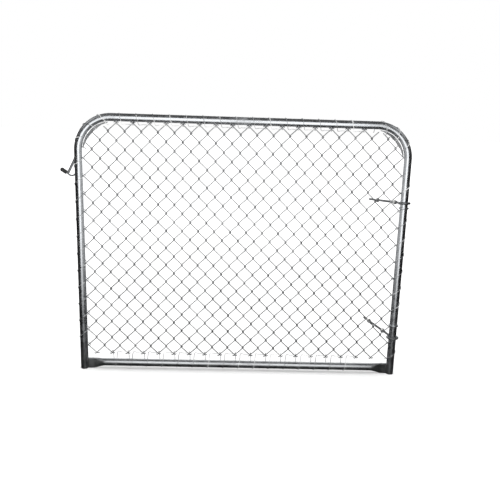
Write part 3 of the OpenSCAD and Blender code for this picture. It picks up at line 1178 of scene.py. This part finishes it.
@dataclass
class ChainHook:
    """The bent-bar hook on the latch leg, with its stay and its tip's sleeve."""

    lines: GateLines
    bar_r: float = 5 * MM
    stay_r: float = 3.2 * MM
    sleeve_r: float = 8.5 * MM
    start: tuple = (-13 * MM, 951 * MM)
    elbow: tuple = (-46 * MM, 885 * MM)
    tip: tuple = (-69 * MM, 900.5 * MM)
    bend: float = 8 * MM
    stay: tuple = (
        (-45 * MM, 884 * MM), (-38 * MM, 878.5 * MM), (-30 * MM, 876.4 * MM), (-22 * MM, 878 * MM),
        (-15 * MM, 883 * MM),
    )
    sleeve_from: float = 7 * MM
    sleeve_past: float = 1 * MM
    sleeve_mouth: float = 4.5 * MM
    sleeve_dome: float = 7.7 * MM

    def point(self, pair: tuple) -> np.ndarray:
        """Turns a pair of distance from the latch leg's axis and height into a point."""
        return np.array([pair[0] - self.lines.span, 0.0, pair[1]])

    def bar_path(self) -> np.ndarray:
        """Returns the bar's centre line, rounded at the elbow."""
        a, b, c = self.point(self.start), self.point(self.elbow), self.point(self.tip)
        into = (b - a) / np.linalg.norm(b - a)
        away = (c - b) / np.linalg.norm(c - b)
        t = np.linspace(0, 1, 14)[:, None]
        p, q = b - into * self.bend, b + away * self.bend
        curve = (1 - t) ** 2 * p + 2 * t * (1 - t) * b + t**2 * q
        lead = a + (p - a) * np.linspace(0, 1, 12)[:-1, None]
        tail = q + (c - q) * np.linspace(0, 1, 10)[1:, None]
        return np.concatenate([lead, curve, tail])

    def stay_path(self) -> np.ndarray:
        """Returns the centre line of the thin stay from the elbow back to the leg."""
        return smooth_path([self.point(pair) for pair in self.stay], 6)

    def sleeve(self) -> tuple:
        """Works out the sleeve: a rolled mouth, a slightly waisted body and a domed end."""
        b, c = self.point(self.elbow), self.point(self.tip)
        along = (c - b) / np.linalg.norm(c - b)
        length = np.linalg.norm(c - b) + self.sleeve_past - self.sleeve_from
        r, mouth = self.sleeve_r, self.sleeve_mouth
        rows = [(0.0, 0.6 * r), (0.05 * MM, 0.88 * r), (0.6 * MM, 0.98 * r)]
        rows += [(2.2 * MM, r), (3.4 * MM, 0.93 * r)]
        rows += [(mouth + s * (length - mouth), r * (0.95 + 0.05 * s)) for s in np.linspace(0, 1, 12)]
        for a in np.radians([12, 25, 40, 55, 70, 82]):
            rows.append((length + self.sleeve_dome * math.sin(a), r * math.cos(a)))
        distance, radius = np.array(rows).T
        return swept_skin(b + along * (self.sleeve_from + distance)[:, None], radius, 32)

    def weld(self) -> tuple:
        """Works out the weld bead where the bar meets the leg."""
        rng = np.random.default_rng(8)
        turn = even_turn(40)
        height = self.start[1] - 6 * MM
        y = 5.4 * MM * np.sin(turn)
        x = -np.sqrt(self.lines.tube_r**2 - y**2) - 0.4 * MM - self.lines.span
        loop = np.stack([x, y, height + 8.6 * MM * np.cos(turn)], 1)
        return swept_skin(loop, (1.8 + rng.normal(0, 0.18, len(turn))) * MM, 10, closed=True)

    def build(self, finishes: Finishes) -> None:
        """Builds and dresses the hook, its weld and its sleeve."""
        bar, stay = swept_skin(self.bar_path(), self.bar_r, 24), swept_skin(self.stay_path(), self.stay_r, 14)
        finishes.dress(mesh_piece("hook_bar", *joined([bar, stay])), Slot.BAR, PANEL, "latch_hook")
        finishes.dress(mesh_piece("hook_tip_sleeve", *self.sleeve()), Slot.SLEEVE, PANEL, "hook_sleeve")
        finishes.dress(mesh_piece("hook_weld_bead", *self.weld()), Slot.WELD, PANEL)


@dataclass
class HingeBolt:
    """One eye bolt round the hinge leg, with its nuts and washers."""

    name: str
    lines: GateLines
    bar_r: float = 5 * MM
    play: float = 0.8 * MM
    pitch: float = 1.5 * MM
    thread_depth: float = 0.62 * MM
    washer_hole: float = 5.3 * MM
    plain: float = 0.985

    def __post_init__(self) -> None:
        """Reads the eye's centre and the rod's direction from the frame's joints."""
        self.eye_r = self.lines.tube_r + self.play + self.bar_r
        joints = {j["name"]: j for j in frame["joints"]}
        self.centre = np.array(joints[f"{self.name}_hinge"]["pos_m"], float)
        self.direction = np.array(joints[f"{self.name}_inner_nut_run"]["axis"], float)
        self.direction /= np.linalg.norm(self.direction)
        flat = np.array([-self.direction[1], self.direction[0], 0.0])
        self.cross = -flat / np.linalg.norm(flat)
        self.up = np.cross(self.cross, self.direction)

    def placed(self, skin: tuple) -> tuple:
        """Moves a skin from the bolt's own axes, with Y along the rod, to its place."""
        points, faces = skin
        turned = points[:, :1] * self.cross + points[:, 1:2] * self.direction + points[:, 2:3] * self.up
        return self.centre + turned, faces

    def node_points(self, node: str) -> np.ndarray:
        """Returns a CAD node's points, seen from the eye's centre."""
        vertices = frame["nodes"][f"{self.name}_{node}"].data.vertices
        return np.array([v.co for v in vertices], float) - self.centre

    def stretch(self, node: str) -> tuple:
        """Returns where a CAD node starts and stops along the rod."""
        along = self.node_points(node) @ self.direction
        return float(along.min()), float(along.max())

    def girth(self, node: str) -> float:
        """Returns how far a CAD node reaches from the rod's axis."""
        co = self.node_points(node)
        return float(np.linalg.norm(co - np.outer(co @ self.direction, self.direction), axis=1).max())

    def eye(self) -> tuple:
        """Works out the eye: the rod's own bar bent round into a ring, its end welded to the shank."""
        turn = np.linspace(math.pi / 2, 2.5 * math.pi, 72, endpoint=False)
        loop = self.eye_r * np.stack([np.cos(turn), np.sin(turn), 0 * turn], 1)
        return swept_skin(loop, self.bar_r, 22, closed=True)

    def shank(self) -> tuple:
        """Works out the plain shank between the eye and the thread."""
        y = np.linspace(self.eye_r, self.thread_start(), 12)
        radius = np.full(len(y), self.bar_r * self.plain)
        radius[-1] = self.bar_r * 0.9
        return swept_skin(np.stack([0 * y, y, 0 * y], 1), radius, 24)

    def thread_start(self) -> float:
        """Returns where the thread starts, just on the eye's side of the inner nut's travel."""
        return max(self.stretch("inner_nut")[0] - 32 * MM, 0.032)

    def thread(self) -> tuple:
        """Works out the threaded length as one helical skin with a chamfered tip."""
        start, stop = self.thread_start() - 0.5 * MM, self.stretch("eye_bolt")[1]
        sides, per_pitch = 20, 4
        rows = int((stop - start) / self.pitch * per_pitch)
        y = np.linspace(start, stop, rows)
        angle = even_turn(sides)
        phase = (y[:, None] / self.pitch - angle[None, :] / (2 * math.pi)) % 1.0
        tooth = 1 - np.abs(2 * phase - 1)
        taper = np.clip((stop - y) / (2 * MM), 0, 1)[:, None]
        radius = (self.bar_r * self.plain - self.thread_depth * (1 - tooth)) * (0.62 + 0.38 * taper)
        along = np.broadcast_to(y[:, None], radius.shape)
        points = np.stack([radius * np.cos(angle), along, radius * np.sin(angle)], 2)
        return points.reshape(-1, 3), ring_faces(rows, sides, capped=True)

    def shank_weld(self) -> tuple:
        """Works out the weld that closes the eye against the shank."""
        rng = np.random.default_rng(21)
        turn = even_turn(36)
        y = np.full(len(turn), self.eye_r + self.bar_r - 0.8 * MM)
        radius = self.bar_r * 1.02
        loop = np.stack([radius * np.cos(turn), y, radius * np.sin(turn)], 1)
        return swept_skin(loop, (1.3 + rng.normal(0, 0.12, len(turn))) * MM, 10, closed=True)

    def nut(self, node: str) -> tuple:
        """Works out a hexagon nut with chamfered corners and a bored middle.

        Args:
            node: The nut's CAD node, without the bolt's name.

        Returns:
            The nut's skin in the bolt's own axes.
        """
        start, stop = self.stretch(node)
        half = self.girth(node) * math.cos(math.pi / 6)
        sides = 72
        angle = even_turn(sides)
        wedge = (angle + math.pi / 6) % (math.pi / 3) - math.pi / 6
        hexagon = half / np.cos(wedge)
        bore, circle = np.full(sides, self.bar_r), np.full(sides, half * 0.965)
        depth = 1.1 * MM * (hexagon - circle) / (hexagon.max() - circle[0])
        lead = 0.6 * MM
        loops = [
            (start + lead, bore), (start, bore + lead), (start, circle), (start + depth, hexagon),
            (stop - depth, hexagon), (stop, circle), (stop, bore + lead), (stop - lead, bore),
        ]
        rows = [np.stack([r * np.cos(angle), y + 0 * angle, r * np.sin(angle)], 1) for y, r in loops]
        faces = [(a, d, c, b) for a, b, c, d in ring_faces(len(rows), sides, looped=True)]
        return np.concatenate(rows), faces

    def washer(self, node: str) -> tuple:
        """Works out a stamped washer with one rounded edge.

        Args:
            node: The washer's CAD node, without the bolt's name.

        Returns:
            The washer's skin in the bolt's own axes.
        """
        start, stop = self.stretch(node)
        outer, hole, e = self.girth(node), self.washer_hole, 0.4 * MM
        profile = [
            (start, hole), (start, outer - 1.4 * e),
            (start + 0.4 * e, outer - 0.4 * e), (start + 1.4 * e, outer),
            (stop - 0.3 * e, outer), (stop, outer - 0.3 * e),
            (stop, hole + 0.4 * e), (stop - 0.4 * e, hole),
        ]
        return lathe(profile, 64)

    def build(self, finishes: Finishes) -> None:
        """Builds and dresses the bolt and what is on it."""
        n = self.name
        bolt = joined([self.placed(self.eye()), self.placed(self.shank()), self.placed(self.thread())])
        finishes.dress(mesh_piece(f"{n}_bolt_bar", *bolt), Slot.BAR, f"{n}_bolt", f"{n}_eye_bolt")
        finishes.dress(mesh_piece(f"{n}_eye_weld", *self.placed(self.shank_weld())), Slot.WELD, f"{n}_bolt")
        for place in ("inner", "outer"):
            for kind, suffix, skin in (
                ("nut", "hex_nut", self.nut(f"{place}_nut")),
                ("washer", "flat_washer", self.washer(f"{place}_washer")),
            ):
                piece = mesh_piece(f"{n}_{place}_{suffix}", *self.placed(skin), smooth=False)
                finishes.dress(piece, Slot.FASTENER, f"{n}_{place}_set", f"{n}_{place}_{kind}")


# ---------------------------------------------------------------- studio


@dataclass(frozen=True)
class SoftBox:
    """An upright soft box between two points of the floor plan."""

    name: str
    start: tuple
    stop: tuple
    foot: float
    head: float
    strength: float
    low_strength: float = 0.0
    fade_up: float = 0.3
    fade_down: float = 0.2


SOFT_BOXES = (
    SoftBox("front_box", (-1.62, -1.15), (0.16, -1.15), -0.2, 1.85, 1.8, 0.2, 0.7, 0.35),
    SoftBox("back_box", (0.9, 1.7), (-2.3, 1.7), 0.2, 2.4, 1.3, 0.2, 0.4, 0.4),
    SoftBox("inner_box", (-0.702, -0.9), (-0.702, 1.3), 0.1, 1.5, 0.55, 0.1, 0.4, 0.3),
    SoftBox("left_corner_box", (-2.3, -0.9), (-2.1, 0.2), 1.45, 2.6, 0.6, 0.2, 0.2, 0.2),
    SoftBox("right_corner_box", (0.9, -0.9), (0.7, 0.2), 1.45, 2.6, 0.6, 0.2, 0.2, 0.2),
)


@dataclass
class Studio:
    """Camera, pale floor and soft light."""

    lens: float = 43.49
    sensor: float = 36.0
    stand_off: float = 2597 * MM
    aside: float = -42.9 * MM
    eye_height: float = 1158.2 * MM
    pitch: float = 12.75
    roll: float = 1.81
    yaw: float = 1.76
    floor_half: float = 30.0
    floor_gap: float = 0.5 * MM
    ground_glow: float = 0.015
    room_glow: float = 0.09
    overhead: float = 70.0
    overhead_size: tuple = (5.0, 4.0)
    overhead_place: tuple = (-0.7, -0.6, 3.6)

    def camera(self) -> None:
        """Sets up the camera in front of the gate."""
        low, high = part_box("frame_hoop")
        data = bpy.data.cameras.new("camera")
        data.lens, data.sensor_width, data.sensor_fit = self.lens, self.sensor, "HORIZONTAL"
        data.clip_start, data.clip_end = 0.05, 200.0
        camera = bpy.data.objects.new("camera", data)
        bpy.context.scene.collection.objects.link(camera)
        pitch, roll, yaw = (math.radians(a) for a in (self.pitch, self.roll, self.yaw))
        ahead = np.array([math.sin(yaw) * math.cos(pitch), math.cos(yaw) * math.cos(pitch), -math.sin(pitch)])
        level = np.array([math.cos(yaw), -math.sin(yaw), 0.0])
        upright = np.cross(level, ahead)
        right = level * math.cos(roll) + upright * math.sin(roll)
        up = -level * math.sin(roll) + upright * math.cos(roll)
        place = np.eye(4)
        place[:3, 0], place[:3, 1], place[:3, 2] = right, up, -ahead
        place[:3, 3] = ((low.x + high.x) / 2 + self.aside, -self.stand_off, low.z + self.eye_height)
        camera.matrix_world = Matrix(place.tolist())
        bpy.context.scene.camera = camera

    def floor(self) -> None:
        """Lays the floor under the gate's feet."""
        h = self.floor_half
        low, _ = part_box("frame_hoop")
        z = low.z - self.floor_gap
        corners = np.array([[-h, -h, z], [h, -h, z], [h, h, z], [-h, h, z]])
        piece = mesh_piece("floor", corners, [(0, 1, 2, 3)], False)
        piece.data.materials.append(FloorFinish("pale_floor").build())
        piece.visible_glossy = False

    def soft_box(self, box: SoftBox) -> None:
        """Hangs a soft box that only the metal's reflections show.

        Args:
            box: The soft box's size, place and brightness.
        """
        material = bpy.data.materials.new(f"{box.name}_glow")
        material.use_nodes = True
        tree = material.node_tree
        tree.nodes.clear()
        axes = tree.nodes.new("ShaderNodeSeparateXYZ")
        tree.links.new(object_coords(tree), axes.inputs[0])
        height = axes.outputs["Z"]
        rising = ranged(tree, height, box.foot, box.foot + box.fade_up, box.low_strength, box.strength)
        falling = ranged(tree, height, box.head - box.fade_down, box.head, 1.0, 0.0)
        glow = tree.nodes.new("ShaderNodeEmission")
        tree.links.new(math_node(tree, "MULTIPLY", rising, falling), glow.inputs["Strength"])
        output = tree.nodes.new("ShaderNodeOutputMaterial")
        tree.links.new(glow.outputs[0], output.inputs["Surface"])
        (x0, y0), (x1, y1) = box.start, box.stop
        corners = [[x0, y0, box.foot], [x1, y1, box.foot], [x1, y1, box.head], [x0, y0, box.head]]
        piece = mesh_piece(box.name, np.array(corners), [(0, 1, 2, 3)], False)
        piece.data.materials.append(material)
        piece.visible_camera = piece.visible_diffuse = piece.visible_shadow = False
        piece.visible_transmission = piece.visible_volume_scatter = False

    def world(self) -> None:
        """Makes a white backdrop, dim in reflections so that the metal keeps dark edges."""
        world = bpy.data.worlds.new("studio")
        bpy.context.scene.world = world
        world.use_nodes = True
        tree = world.node_tree
        tree.nodes.clear()
        axes = tree.nodes.new("ShaderNodeSeparateXYZ")
        tree.links.new(tree.nodes.new("ShaderNodeTexCoord").outputs["Generated"], axes.inputs[0])
        dim = ranged(tree, axes.outputs["Z"], -0.05, 0.25, self.ground_glow, self.room_glow)
        rays = tree.nodes.new("ShaderNodeLightPath")
        plain = math_node(tree, "MAXIMUM", rays.outputs["Is Camera Ray"], rays.outputs["Is Diffuse Ray"])
        seen = tree.nodes.new("ShaderNodeMix")
        tree.links.new(plain, seen.inputs["Factor"])
        tree.links.new(dim, seen.inputs[2])
        seen.inputs[3].default_value = 1.0
        back = tree.nodes.new("ShaderNodeBackground")
        back.inputs["Color"].default_value = (1.0, 1.0, 1.0, 1.0)
        tree.links.new(seen.outputs[0], back.inputs["Strength"])
        output = tree.nodes.new("ShaderNodeOutputWorld")
        tree.links.new(back.outputs["Background"], output.inputs["Surface"])

    def key_light(self) -> None:
        """Hangs one large soft light over the gate."""
        data = bpy.data.lights.new("overhead", "AREA")
        data.shape, data.energy = "RECTANGLE", self.overhead
        data.size, data.size_y = self.overhead_size
        light = bpy.data.objects.new("overhead", data)
        light.location = self.overhead_place
        light.visible_glossy = False
        bpy.context.scene.collection.objects.link(light)

    def build(self) -> None:
        """Sets up the whole studio."""
        self.camera()
        self.floor()
        self.world()
        self.key_light()
        for box in SOFT_BOXES:
            self.soft_box(box)
        bpy.context.scene.view_settings.view_transform = "Standard"


def main() -> None:
    """Builds the studio and every part of the gate, in order."""
    logging.basicConfig(level=logging.INFO, format="%(name)s: %(message)s")
    Studio().build()
    finishes = Finishes()
    lines = GateLines()
    tubes = TubeFrame(lines)
    tubes.build(finishes)
    DiamondMesh(lines).build(finishes)
    Lacing(lines).build(finishes, tubes.rail_z())
    CornerTies(lines).build(finishes)
    StopCollars(lines).build(finishes)
    ChainHook(lines).build(finishes)
    for name in ("upper", "lower"):
        HingeBolt(name, lines).build(finishes)


if __name__ == "__main__":
    main()
